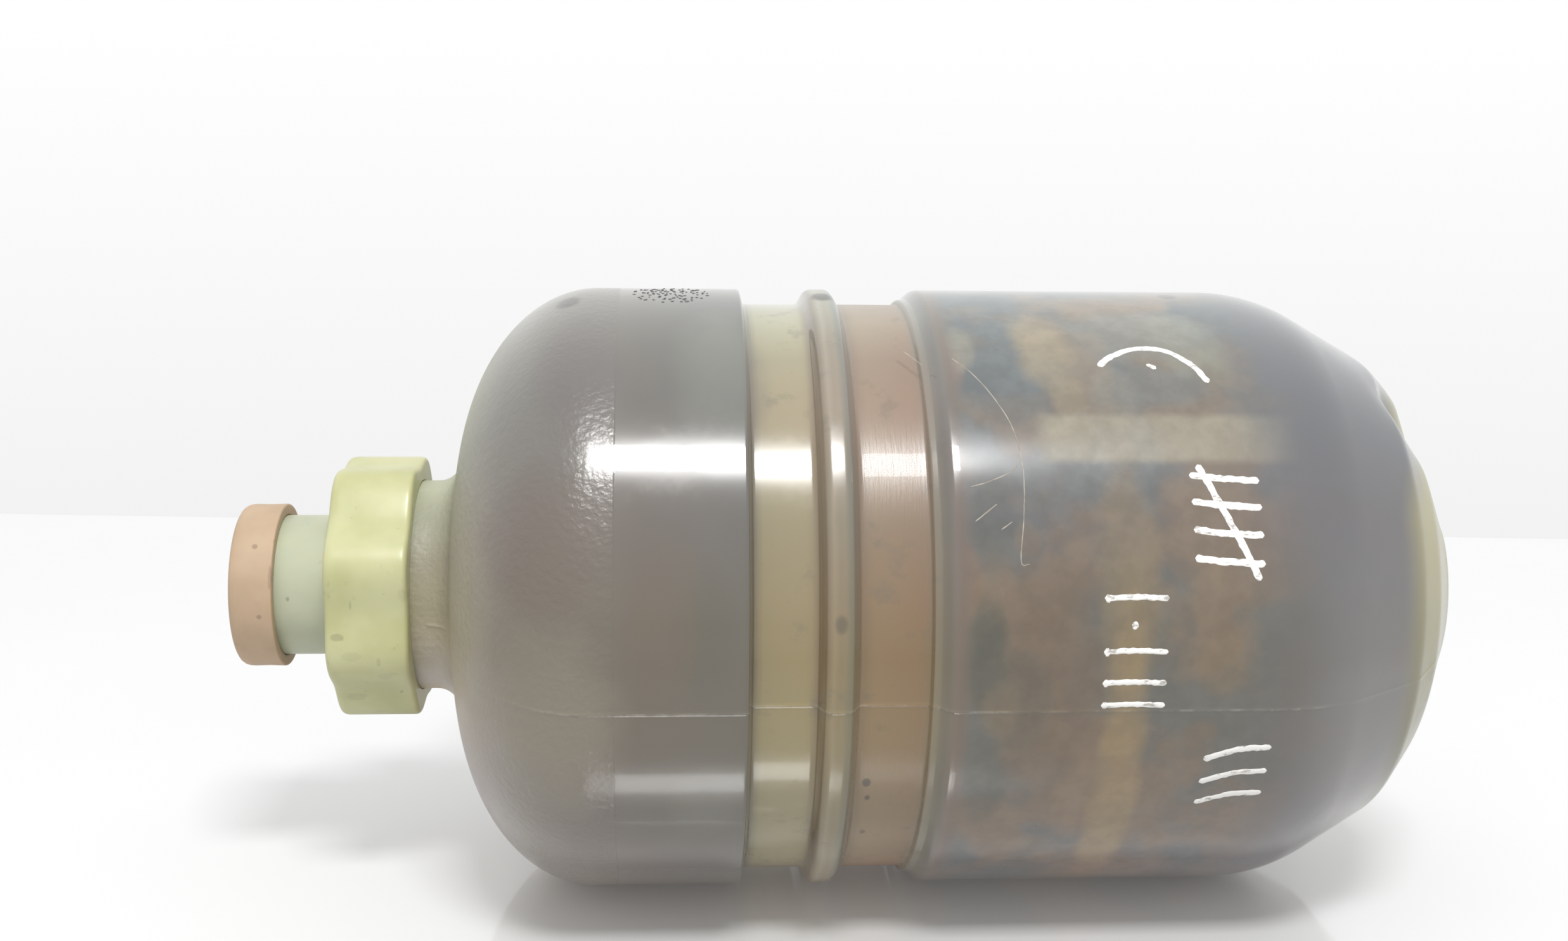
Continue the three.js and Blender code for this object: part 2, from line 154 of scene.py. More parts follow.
SNAP_GROOVE = (32.3, 33.9)
SNAP_GROOVE_R = 14.5
SEAL_R = 19.1  # outer radius of the washer and the gasket
ROOM = 0.4  # between a loose piece and what it goes over
CAP_FLOOR = 2
RIM = (11.2, 13.4)  # inner and outer radius of the spider's rim and of the clamp ring
HUB = (1.5, 3.4)
SPOKE_REACH = (3.0, 11.6)
SPOKE_HALF_WIDTH = 1.0
PIN_R = 1.2
PIN_COLLAR = (26.3, 27.5)
PIN_COLLAR_R = 2.6
LINER_R = 13.9
KNOT_STEP = 0.7  # spacing of the uneven places along a brush stroke's edge


# ---- mesh tools ----


def rounded(corners, steps=5):
    """Samples an outline of (station, radius, rounding) corners."""
    points = []
    for i, (station, radius, rounding) in enumerate(corners):
        here = Vector((station, radius))
        if rounding == 0:
            points.append(here)
            continue
        before = Vector(corners[i - 1][:2]) - here
        after = Vector(corners[(i + 1) % len(corners)][:2]) - here
        reach = rounding / math.tan(before.angle(after) / 2)
        start = here + before.normalized() * min(reach, 0.48 * before.length)
        end = here + after.normalized() * min(reach, 0.48 * after.length)
        for k in range(steps + 1):
            t = k / steps
            points.append((1 - t) ** 2 * start + 2 * t * (1 - t) * here + t * t * end)
    return [tuple(p) for p in points]


def spaced(points, step):
    """The same outline with no stretch longer than step."""
    dense = [points[0]]
    for start, end in zip(points, points[1:]):
        count = max(1, math.ceil(math.dist(start, end) / step))
        for k in range(1, count + 1):
            dense.append(tuple(np.array(start) + (np.array(end) - np.array(start)) * k / count))
    return dense


def bow(station, radius, station_half, radius_half, start, end, steps):
    """Points of an elliptical arc, both ends included, angles in radians."""
    angles = np.linspace(start, end, steps + 1)
    return [(station + station_half * math.cos(a), radius + radius_half * math.sin(a)) for a in angles]


def smooth(value, low, high):
    t = np.clip((np.asarray(value, float) - low) / (high - low), 0, 1)
    return t * t * (3 - 2 * t)


def placed(station, radius, bearing):
    """World points, in metres, of stations and radii in millimetres and bearings in radians."""
    x = FACE_X + np.asarray(station) * MM
    y = -np.asarray(radius) * np.cos(bearing) * MM
    z = AXIS_Z + np.asarray(radius) * np.sin(bearing) * MM
    return np.stack(np.broadcast_arrays(x, y, z), -1)


def finished(name, vertices, faces, body, material, sharp=35, nodes=()):
    """A smooth-shaded piece with outward faces that rides on a body."""
    mesh = bpy.data.meshes.new(name)
    mesh.from_pydata([tuple(v) for v in vertices], [], faces)
    work = bmesh.new()
    work.from_mesh(mesh)
    bmesh.ops.recalc_face_normals(work, faces=work.faces)
    work.to_mesh(mesh)
    work.free()
    mesh.shade_smooth()
    mesh.set_sharp_from_angle(angle=math.radians(sharp))
    mesh.materials.append(material)
    piece = bpy.data.objects.new(name, mesh)
    bpy.context.scene.collection.objects.link(piece)
    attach(piece, body)
    if nodes:
        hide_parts(*nodes)


def lattice(rows, columns, wrap_rows):
    """Quads of a grid of rows x columns vertices that closes on itself round the columns."""
    faces = []
    for i in range(rows if wrap_rows else rows - 1):
        here, after = i * columns, (i + 1) % rows * columns
        for j in range(columns):
            beside = (j + 1) % columns
            faces.append((here + j, here + beside, after + beside, after + j))
    return faces


def tube(grid):
    """Vertices and faces of rows of a closed section, capped at both ends."""
    rows, columns = grid.shape[:2]
    faces = lattice(rows, columns, False)
    faces.append(tuple(range(columns)))
    faces.append(tuple(rows * columns - 1 - k for k in range(columns)))
    return grid.reshape(-1, 3), faces


def joined(parts):
    """One set of vertices and faces from several."""
    vertices, faces = np.zeros((0, 3)), []
    for more, more_faces in parts:
        faces += [tuple(k + len(vertices) for k in face) for face in more_faces]
        vertices = np.vstack([vertices, more])
    return vertices, faces


def turned(profile, bearings, shape=None):
    """Vertices and faces of a closed profile turned round the axis. A profile that starts and ends on
    the axis gets one vertex at each end. shape moves the grid's stations and radii."""
    on_axis = profile[0][1] == 0
    rows = profile[1:-1] if on_axis else profile
    station = np.repeat(np.array([p[0] for p in rows])[:, None], len(bearings), 1)
    radius = np.repeat(np.array([p[1] for p in rows])[:, None], len(bearings), 1)
    bearing = np.repeat(np.asarray(bearings)[None, :], len(rows), 0)
    if shape:
        station, radius = shape(station, radius, bearing)
    vertices = placed(station, radius, bearing).reshape(-1, 3)
    columns = len(bearings)
    faces = lattice(len(rows), columns, not on_axis)
    if on_axis:
        first, last = len(vertices), len(vertices) + 1
        ends = [placed(profile[0][0], 0, 0), placed(profile[-1][0], 0, 0)]
        vertices = np.vstack([vertices, ends])
        final = (len(rows) - 1) * columns
        for j in range(columns):
            beside = (j + 1) % columns
            faces.append((first, beside, j))
            faces.append((last, final + j, final + beside))
    return vertices, faces


def full_turn(count):
    return np.linspace(0, 2 * math.pi, count, endpoint=False)


def ring_section(span, inner, outer, edge):
    """Rectangular section with rounded edges, as a closed outline."""
    start, end = span
    corners = [(start, inner), (start, outer), (end, outer), (end, inner)]
    return rounded([(*corner, edge) for corner in corners], 3)


def disc_section(span, outer, edge):
    """Half section of a disc with a rounded rim, from the axis round to the axis."""
    start, end = span
    return rounded([(start, 0, 0), (start, outer, edge), (end, outer, edge), (end, 0, 0)], 3)


# ---- material tools ----


def tone(red, green, blue):
    """A colour given as 8-bit display values, as the shader wants it."""
    channels = [v / 255 for v in (red, green, blue)]
    return tuple(v / 12.92 if v <= 0.04045 else ((v + 0.055) / 1.055) ** 2.4 for v in channels) + (1,)


class Finish:
    """A procedural material under construction."""

    def __init__(self, name, **shader):
        self.material = bpy.data.materials.new(name)
        self.material.use_nodes = True
        self.tree = self.material.node_tree
        self.tree.nodes.clear()
        output = self.tree.nodes.new("ShaderNodeOutputMaterial")
        self.shader = self.tree.nodes.new("ShaderNodeBsdfPrincipled")
        self.tree.links.new(self.shader.outputs[0], output.inputs["Surface"])
        for key, value in shader.items():
            self.shader.inputs[key.replace("_", " ")].default_value = value
        self.place = self.node("ShaderNodeTexCoord").outputs["Object"]
        axes = self.node("ShaderNodeSeparateXYZ", {0: self.place}).outputs
        self.station = self.times(self.minus(axes[0], FACE_X), 1 / MM)
        rise = self.minus(axes[2], AXIS_Z)
        turn = self.math("ARCTAN2", rise, self.times(axes[1], -1))
        self.bearing = self.times(turn, 180 / math.pi)
        run = self.times(axes[1], axes[1])
        level = self.math("ARCTAN2", rise, self.math("SQRT", run))
        self.slope = self.times(level, 180 / math.pi)  # -90 at the bottom, 90 at the top

    def node(self, kind, inputs=None, **settings):
        made = self.tree.nodes.new(kind)
        for key, value in settings.items():
            setattr(made, key, value)
        for key, value in (inputs or {}).items():
            self.feed(made.inputs[key], value)
        return made

    def feed(self, socket, value):
        if isinstance(value, bpy.types.NodeSocket):
            self.tree.links.new(value, socket)
        else:
            socket.default_value = value

    def math(self, operation, value, *others):
        """Combines values two at a time, from the left."""
        for other in others or (0.0,):
            value = self.node("ShaderNodeMath", {0: value, 1: other}, operation=operation).outputs[0]
        return value

    def times(self, *values):
        return self.math("MULTIPLY", *values)

    def plus(self, *values):
        return self.math("ADD", *values)

    def minus(self, a, b):
        return self.math("SUBTRACT", a, b)

    def mix(self, share, a, b, blend="MIX"):
        made = self.node("ShaderNodeMix", data_type="RGBA", blend_type=blend)
        for key, value in ((0, share), (6, a), (7, b)):
            self.feed(made.inputs[key], value)
        return made.outputs[2]

    def between(self, value, low, high, at_low=0.0, at_high=1.0):
        """at_low below low, at_high above high, and a soft step from one to the other."""
        made = self.node("ShaderNodeMapRange", {0: value, 1: low, 2: high, 3: at_low, 4: at_high})
        made.interpolation_type = "SMOOTHSTEP"
        return made.outputs[0]

    def band(self, value, low, high, soft):
        """1 between low and high, 0 outside, with soft edges."""
        rising = self.between(value, low - soft, low + soft)
        falling = self.between(value, high - soft, high + soft, 1, 0)
        return self.times(rising, falling)

    def noise(self, size, detail=3.0, roughness=0.5, stretch=(1, 1, 1)):
        """Cloudy noise from 0 to 1 whose features are about size millimetres across."""
        scaled = self.node("ShaderNodeMapping", {"Vector": self.place, "Scale": stretch}).outputs[0]
        inputs = {"Vector": scaled, "Scale": 1 / (size * MM), "Detail": detail, "Roughness": roughness}
        return self.node("ShaderNodeTexNoise", inputs).outputs[0]

    def ramp(self, value, stops):
        """Colours along a value: stops are (value from 0 to 1, colour)."""
        made = self.node("ShaderNodeValToRGB", {0: value})
        elements = made.color_ramp.elements
        while len(elements) < len(stops):
            elements.new(0.5)
        for element, (position, colour) in zip(elements, stops):
            element.position = position
            element.color = colour
        return made.outputs[0]

    def cast(self, colour, height, table):
        """Painted light and shade: multiplies a colour by factors up to 2 that follow the slope. A table
        row is (slope, red, green, blue), and height is the slope brought from -90..90 to 0..1."""
        halves = [(slope / 180 + 0.5, tuple(f / 2 for f in factors) + (1,)) for slope, *factors in table]
        halved = self.mix(1.0, colour, self.ramp(height, halves), "MULTIPLY")
        return self.mix(1.0, halved, (2, 2, 2, 1), "MULTIPLY")

    def patch(self, station, bearing, long, wide, soft, wobble):
        """A soft, uneven oval: its centre, half length in mm and half width in degrees."""
        across = self.math("DIVIDE", self.minus(self.station, station), long)
        around = self.math("DIVIDE", self.minus(self.bearing, bearing), wide)
        square = self.plus(self.times(across, across), self.times(around, around), wobble)
        return self.between(square, 1 - soft, 1 + soft, 1, 0)

    def bump(self, height, strength, depth):
        """Surface relief: depth is the height, in millimetres, of a full step of the pattern."""
        inputs = {"Height": height, "Strength": strength, "Distance": depth * MM}
        if self.shader.inputs["Normal"].is_linked:
            inputs["Normal"] = self.shader.inputs["Normal"].links[0].from_socket
        made = self.node("ShaderNodeBump", inputs)
        self.tree.links.new(made.outputs[0], self.shader.inputs["Normal"])

    def colour(self, value):
        self.feed(self.shader.inputs["Base Color"], value)

    def roughness(self, value):
        self.feed(self.shader.inputs["Roughness"], value)


# ---- materials ----

# colours along the body: (station, red, green, blue), as 8-bit display values
SKIN_ZONES = [
    (28, 136, 127, 102), (43, 134, 122, 102), (48, 130, 118, 102), (55, 112, 100, 86), (65, 106, 94, 82),
    (80, 95, 84, 74), (97.5, 90, 83, 75), (99.2, 86, 80, 72), (100.8, 137, 127, 100),
    (109.5, 141, 130, 102), (111.6, 114, 99, 82), (113.2, 140, 130, 112), (114.4, 131, 120, 103),
    (115.4, 131, 121, 103), (116.6, 112, 110, 100), (118.3, 124, 108, 93), (120.4, 134, 116, 96),
    (129.6, 129, 109, 91), (131.6, 120, 112, 98), (133.4, 104, 98, 90), (135.2, 99, 82, 71),
    (139, 92, 84, 75),
]

# stains: (station, bearing, half length, half width in degrees, strength, colour)
LEFT_STAINS = [
    (63, 21, 9, 11, 0.8, (96, 82, 71)), (64, -12, 11, 15, 0.65, (121, 112, 100)),
    (69, 54, 7, 13, 0.8, (92, 80, 75)), (94, 54, 7, 16, 0.65, (106, 99, 88)),
    (91, 5, 5, 9, 0.7, (84, 78, 68)), (80, -27, 7, 9, 0.6, (86, 78, 70)),
    (84, 8, 6, 12, 0.5, (97, 82, 69)), (91, -27, 5, 7, 0.5, (98, 94, 84)),
    (58, -62, 9, 12, 0.6, (84, 78, 72)),
]
RIGHT_STAINS = [
    (173, 65, 14, 8, 0.7, (102, 95, 86)), (146, 55, 5, 14, 0.6, (87, 84, 80)),
    (174, 50, 10, 5, 0.6, (91, 88, 83)), (154, 61, 5.5, 10, 0.7, (126, 107, 84)),
    (157, 48, 3, 6, 0.7, (118, 101, 81)), (162, 57, 4, 9, 0.5, (110, 94, 80)),
    (135.5, 55, 3, 7, 0.7, (116, 92, 78)), (152, -4, 9, 22, 0.8, (95, 78, 64)),
    (165, 14, 5.5, 20, 0.75, (110, 93, 72)), (165, 48, 4, 6, 0.5, (112, 101, 88)),
    (146, -7, 5, 9, 0.6, (80, 72, 62)), (165, -30, 4, 40, 0.8, (124, 104, 76)),
    (158, -27, 4, 10, 0.5, (110, 90, 72)), (168, -56, 12, 12, 0.6, (114, 91, 76)),
    (139.8, 1, 4, 9, 0.85, (68, 66, 58)), (142.5, -8, 3.4, 5, 0.6, (104, 90, 74)),
    (141, 25, 4, 9, 0.7, (78, 75, 69)), (136, 14, 2.6, 6, 0.6, (112, 86, 68)),
    (141, -24, 4, 9, 0.6, (76, 73, 64)), (147, 21, 2.4, 3, 0.4, (110, 90, 70)),
    (182, 0, 4, 5, 0.5, (112, 92, 70)), (181, 62, 6, 9, 0.5, (114, 106, 92)),
    (138, 60, 3, 6, 0.6, (116, 104, 88)), (181, 15, 2, 2.4, 0.4, (114, 94, 74)),
    (190, 13, 2, 2, 0.4, (110, 94, 76)), (186, 57, 3, 6, 0.4, (104, 98, 82)),
    (150, 130, 9, 20, 0.6, (114, 96, 78)), (172, 160, 7, 26, 0.6, (80, 78, 70)),
    (160, -140, 6, 24, 0.6, (112, 96, 76)),
]

# dark specks: (station, bearing, size, strength)
SPECKS = [
    (65.5, 79, 2.2, 0.8), (114.7, 82, 2, 0.8), (183.9, 84.4, 1.6, 0.8), (120.4, -25, 0.7, 0.7),
    (120.8, -29, 0.5, 0.7), (114.6, 7, 1.1, 0.45), (120.8, -40, 0.5, 0.5),
]

# painted light and shade: factors on the colour from the underside to the top: (slope, red, green, blue)
SHELL_PAINTED_LIGHT = [
    (-65, 2, 2, 2), (-50, 1.55, 1.7, 1.95), (-35, 1.32, 1.42, 1.5), (-15, 1.13, 1.17, 1.1),
    (0, 0.97, 1.01, 0.94), (10, 1.01, 1.09, 1.07), (24, 1.02, 1.11, 1.23), (48, 1.05, 1.24, 1.4),
    (60, 1.2, 1.43, 1.6), (75, 1.45, 1.75, 1.95),
]
STRAP_PAINTED_LIGHT = [
    (-65, 1.9, 1.85, 1.85), (-50, 1.4, 1.5, 1.55), (-35, 1.05, 1.09, 1.04), (-15, 1.0, 0.97, 0.78),
    (0, 0.84, 0.78, 0.59), (10, 0.87, 0.82, 0.72), (24, 0.85, 0.86, 0.86), (48, 1.03, 1.03, 1.12),
    (60, 1.03, 1.1, 1.22), (75, 1.3, 1.5, 1.7),
]
CONE_PAINTED_LIGHT = [
    (-55, 0.76, 0.74, 0.72), (-40, 0.86, 0.86, 0.86), (-25, 1.16, 1.22, 1.3), (-5, 1.34, 1.42, 1.55),
    (12, 1.15, 1.2, 1.28), (25, 0.98, 1, 1), (50, 0.86, 0.88, 0.9), (62, 0.82, 0.82, 0.83),
]
NECK_PAINTED_LIGHT = [
    (-70, 1.1, 1.15, 1.3), (-50, 1.3, 1.32, 1.6), (-20, 1.45, 1.48, 1.75), (0, 1.25, 1.3, 1.4),
    (25, 1.1, 1.12, 1.1),
]
BASE_PAINTED_SHADE = [(-45, 0.5, 0.5, 0.46), (-25, 0.6, 0.6, 0.55), (0, 0.82, 0.82, 0.78), (20, 1, 1, 1)]

COAT = 0.7
COAT_ROUGHNESS = 0.04
BLAST_END = 75.2  # where the mould's blast texture stops


def stains(finish, colour, spots, soft, wobble):
    """Soft patches laid over a colour."""
    for station, bearing, long, wide, strength, stain in spots:
        mask = finish.patch(station, bearing, long, wide, soft, wobble)
        colour = finish.mix(finish.times(mask, strength), colour, tone(*stain))
    return colour


def left_shell(finish, colour, wobble):
    """The left shell darkens towards grey in soft clouds."""
    clouds = finish.between(finish.noise(38, 2), 0.35, 0.7)
    left = finish.band(finish.station, 50, 97, 5)
    colour = finish.mix(finish.times(clouds, left, 0.4), colour, tone(87, 80, 75))
    return stains(finish, colour, LEFT_STAINS, 1.2, wobble)


def right_shell(finish, wobble):
    """The right shell is clouded in soft stains and finer mottling, with a painted reflection over them:
    a lighter band along the barrel beside the key light's highlight.
    """
    grey = finish.between(finish.noise(22, 3, 0.55), 0.42, 0.6)
    colour = finish.mix(grey, tone(104, 87, 72), tone(85, 82, 78))
    colour = stains(finish, colour, RIGHT_STAINS, 0.7, wobble)
    # painted reflection: a lighter band along the barrel, on the upper edge of the key light's highlight
    # and above it
    painted_reflection_band = finish.times(finish.band(finish.station, 151, 196.5, 2.5),
                          finish.band(finish.bearing, 34.6, 43.6, 1.1))
    veined = finish.between(finish.noise(12, 4, 0.6), 0.3, 0.7, 0.65, 0.95)
    colour = finish.mix(finish.times(painted_reflection_band, veined), colour, tone(130, 116, 96))
    mottle = finish.between(finish.noise(5, 3, 0.6), 0.35, 0.65, 0.92, 1.08)
    mottle = finish.node("ShaderNodeCombineXYZ", {0: mottle, 1: mottle, 2: mottle}).outputs[0]
    return finish.mix(1.0, colour, mottle, "MULTIPLY")


def skin_gloss(finish, neck, base):
    """The shoulder kept the mould's fine blast texture, and handling polished the barrel."""
    blasted = finish.between(finish.station, BLAST_END, BLAST_END + 0.5, 1, 0)
    scuffed = finish.between(finish.noise(11, 5, 0.7), 0.45, 0.75)
    rib = finish.band(finish.station, 112, 117.5, 0.5)
    rubbed = finish.band(finish.station, 118, 131, 0.5)
    worn = finish.math("MAXIMUM", neck, base, finish.times(rib, 0.8), finish.times(rubbed, 0.9))
    inputs = finish.shader.inputs
    finish.feed(inputs["Coat Weight"], finish.minus(COAT, finish.times(worn, 0.66)))
    finish.feed(inputs["Coat Roughness"], finish.plus(COAT_ROUGHNESS, finish.times(blasted, 0.12)))
    finish.roughness(finish.plus(finish.times(blasted, 0.1), finish.times(scuffed, 0.08),
                                 finish.times(neck, 0.2), finish.times(rubbed, 0.1), 0.2))
    finish.bump(finish.times(finish.noise(1.3, 2), blasted), 1.0, 0.2)
    finish.bump(finish.times(finish.noise(3.2, 3, 0.6, (9, 0.6, 0.6)), rubbed), 0.8, 0.05)
    finish.bump(finish.noise(24, 2), 0.5, 0.25)


def stained_skin():
    """Brown fuel-stained translucent shell: clearer strap grooves, a clouded right half, a pale base
    that is partly painted light shining through it, and painted light and shade that follow the slope.
    """
    finish = Finish("stained_skin", Specular_IOR_Level=0.5, Coat_Weight=COAT,
                    Coat_Roughness=COAT_ROUGHNESS)
    height = finish.plus(finish.times(finish.slope, 1 / 180), 0.5)
    wander = finish.minus(finish.noise(14, 3), 0.5)
    along = finish.plus(finish.station, finish.times(wander, 1.2))
    wobble = finish.times(finish.minus(finish.noise(9, 4), 0.5), 1.6)

    zones = [(station / LENGTH, tone(*rgb)) for station, *rgb in SKIN_ZONES]
    colour = finish.ramp(finish.math("DIVIDE", along, LENGTH), zones)
    colour = left_shell(finish, colour, wobble)
    right = finish.between(finish.station, 134.5, 139)
    colour = finish.mix(right, colour, right_shell(finish, wobble))

    # neutral grey cone
    cone = finish.between(along, 182, 199)
    colour = finish.mix(finish.times(cone, 0.92), colour, tone(90, 84, 82))
    # painted light and shade on the end of the cone: lighter round the side, darker at the top and the
    # underside
    far = finish.between(along, 193, 206)
    colour = finish.mix(far, colour, finish.cast(colour, height, CONE_PAINTED_LIGHT))

    # painted light and shade by slope: lighter and bluer towards the top and the underside, and on the
    # straps darker and browner about the middle of the side
    straps = finish.band(finish.station, 99, 134, 1)
    plain = finish.cast(colour, height, SHELL_PAINTED_LIGHT)
    colour = finish.mix(straps, plain, finish.cast(colour, height, STRAP_PAINTED_LIGHT))

    # painted light: the thick neck is lighter, most of all on its lower side, for the light that it lets
    # through from below
    neck = finish.between(finish.station, 46, 60, 1, 0)
    colour = finish.mix(neck, colour, finish.cast(colour, height, NECK_PAINTED_LIGHT))

    # pale yellow base: paler, less stained plastic with painted light that shines through it, and
    # painted shade below
    upper = finish.between(finish.slope, 25, 50, 0, 6)
    base = finish.between(finish.minus(along, upper), 217, 226)
    colour = finish.mix(base, colour, finish.cast(tone(148, 142, 104), height, BASE_PAINTED_SHADE))

    # grime that settled in the grooves and on the rib, and dark specks
    grime = finish.between(finish.noise(7, 5, 0.65), 0.56, 0.7)
    colour = finish.mix(finish.times(grime, straps, 0.3), colour, tone(92, 92, 82))
    for station, bearing, size, strength in SPECKS:
        speck = finish.patch(station, bearing, size, size * 1.4, 0.8, wobble)
        colour = finish.mix(finish.times(speck, strength), colour, tone(62, 60, 58))

    # pale witness of the parting line
    seam = SEAM_BEARINGS[0]
    line = finish.band(finish.bearing, seam - 0.2, seam + 0.2, 0.15)
    broken = finish.between(finish.noise(6, 4, 0.7), 0.4, 0.7)
    barrel = finish.band(finish.station, 60, 200, 6)
    line = finish.times(line, broken, finish.times(barrel, 0.22))
    finish.colour(finish.mix(line, colour, tone(190, 184, 172)))
    skin_gloss(finish, neck, base)
    return finish.material


def moulded(name, light, dark, grime, roughness, cloud=14, relief=0.03, subsurface=0.15, marks=()):
    """Plain moulded polymer: two close tones in clouds, a little grime, stray marks and fine relief."""
    finish = Finish(name, Subsurface_Weight=subsurface, Subsurface_Scale=0.004)
    clouds = finish.between(finish.noise(cloud, 3), 0.35, 0.65)
    colour = finish.mix(clouds, light, dark)
    streaks = finish.between(finish.noise(5, 5, 0.7, (1, 0.5, 1)), 0.6, 0.78)
    colour = finish.mix(finish.times(streaks, 0.4), colour, grime)
    dots = finish.between(finish.noise(1.6, 2), 0.74, 0.8)
    colour = finish.mix(finish.times(dots, 0.55), colour, grime)
    wobble = finish.times(finish.minus(finish.noise(1.2, 4, 0.7), 0.5), 3)
    for station, bearing, long, wide, strength in marks:
        dab = finish.patch(station, bearing, long, wide, 0.5, wobble)
        colour = finish.mix(finish.times(dab, strength), colour, grime)
    finish.colour(colour)
    worn = finish.noise(8, 4, 0.6)
    finish.roughness(finish.plus(finish.times(worn, 0.18), roughness))
    finish.bump(finish.noise(2.2, 3), 0.6, relief)
    return finish.material


def metal(name, base, roughness):
    """Turned metal: fine tool marks round the axis and a few dull patches."""
    finish = Finish(name, Metallic=1.0)
    dull = finish.between(finish.noise(4, 4), 0.4, 0.7)
    darker = tuple(v * 0.62 for v in base[:3]) + (1,)
    finish.colour(finish.mix(finish.times(dull, 0.6), base, darker))
    finish.roughness(finish.plus(finish.times(dull, 0.2), roughness))
    marks = finish.node("ShaderNodeTexWave", {"Vector": finish.place, "Scale": 900.0, "Distortion": 1.5},
                        bands_direction="X").outputs[1]
    finish.bump(marks, 0.5, 0.01)
    return finish.material


def brush_paint():
    finish = Finish("brush_paint")
    worn = finish.between(finish.noise(0.9, 4, 0.7, (0.4, 1, 1)), 0.55, 0.64)
    finish.colour(finish.mix(finish.times(worn, 0.75), tone(226, 224, 220), tone(140, 132, 124)))
    finish.roughness(finish.plus(finish.times(finish.noise(3, 3), 0.2), 0.42))
    finish.bump(finish.noise(0.8, 3), 0.7, 0.05)
    return finish.material


# ---- the bottle ----


def base_outline():
    blend_r = CHAMFER_BLEND_R
    end = math.pi / 2 - CHAMFER_ANGLE
    blend = bow(CHAMFER_START, BODY_R - blend_r, blend_r, blend_r, math.pi / 2, end, 10)
    rest = [
        (*KNUCKLE, 6),
        (229.4, 40.2, 14),
        (236.4, 27.2, 8),
        (LENGTH, 24.6, 1.2),
        (LENGTH, 20.9, 1.2),
        (235.4, 13, 8),
        (PUSH_UP_END, 0, 0),
    ]
    return [*blend[:-1], *rounded([(*blend[-1], 0), *rest], 6)]


def outer_outline():
    """The bottle's outside, from the mouth to the middle of the base."""
    fillet = COLLAR_FILLET
    collar_end = SHOULDER_END - SHOULDER_LENGTH - fillet
    neck = rounded([(MOUTH, NECK_CORE_R, 0), (COLLAR_START, NECK_CORE_R, 0.15),
                    (COLLAR_START, COLLAR_R, 0.35), (collar_end, COLLAR_R, 0)], 3)
    foot = bow(collar_end, COLLAR_R + fillet, fillet, fillet, -math.pi / 2, -0.12, 10)
    rise = BODY_R - COLLAR_R
    start = math.pi - math.asin((fillet + 0.9) / rise)
    shoulder = bow(SHOULDER_END, COLLAR_R, SHOULDER_LENGTH, rise, start, math.pi / 2, 36)
    corners = [
        (SHOULDER_END, BODY_R, 0),
        (98.8, BODY_R, 0.7),
        (GROOVE_1[0], GROOVE_R, 0.6),
        (GROOVE_1[1], GROOVE_R, 1.6),
        (RIB[0] - 0.3, BODY_R, 1.9),
        (RIB[1] + 0.3, BODY_R, 1.9),
        (GROOVE_2[0], GROOVE_R, 1.2),
        (GROOVE_2[1], GROOVE_R, 0.6),
        (LEDGE[0], GROOVE_R + 1.0, 0.5),
        (LEDGE[1] + 0.2, GROOVE_R + 1.2, 0.6),
        (134.2, BODY_R, 2.2),
        (BARREL_START, BODY_R, 0),
    ]
    straps = rounded(corners, 6)
    return [*neck, *foot, *shoulder[:-1], *straps, *base_outline()]


def inner_outline():
    """The bottle's inside, from the middle of the base to the mouth."""
    inner = BODY_R - WALL
    groove = GROOVE_R - WALL
    neck_end = SHOULDER_END - SHOULDER_LENGTH
    base = [(PUSH_UP_END - WALL, 0), (233.2, 13), (235.4, 21.5), (235.0, 24.6), (227.6, 39.4),
            (221.2, 47.0)]
    blend_r = CHAMFER_BLEND_R
    start = math.pi / 2 - CHAMFER_ANGLE
    chamfer = bow(CHAMFER_START, inner - blend_r, blend_r, blend_r, start, math.pi / 2, 8)
    straps = rounded(
        [(CHAMFER_START, inner, 0), (BARREL_START + 1.5, inner, 2), (LEDGE[1], groove, 2),
         (RIB[1] + 0.9, groove, 1), (RIB[1] - 0.9, inner - 0.2, 1), (RIB[0] + 0.9, inner - 0.2, 1),
         (RIB[0] - 0.9, groove, 1), (GROOVE_1[0] - WALL + 0.4, groove, 0.5),
         (GROOVE_1[0] - WALL, inner, 0.5), (SHOULDER_END, inner, 0)],
        2,
    )
    shoulder = bow(SHOULDER_END, COLLAR_R, SHOULDER_LENGTH - WALL, BODY_R - COLLAR_R - WALL, math.pi / 2,
                   math.pi, 14)
    mouth = rounded([(neck_end + WALL, NECK_BORE_R, 0), (MOUTH, NECK_BORE_R, 0.4),
                     (MOUTH, NECK_CORE_R, 0.4), (MOUTH + 1, NECK_CORE_R, 0)], 3)
    return [*base, *chamfer[:-1], *straps[:-1], *shoulder, *mouth[:-1]]


def skin_bearings():
    """Even facets round the barrel, with finer ones beside the two parting lines."""
    bearings = list(full_turn(AROUND))
    for seam in SEAM_BEARINGS:
        offsets = (-0.8, -0.45, -0.25, -0.1, 0, 0.1, 0.25, 0.45, 0.8)
        near = [math.radians(seam + d) % (2 * math.pi) for d in offsets]
        bearings = [b for b in bearings if min(abs(b - n) for n in near) > 0.006] + near
    return np.array(sorted(bearings))


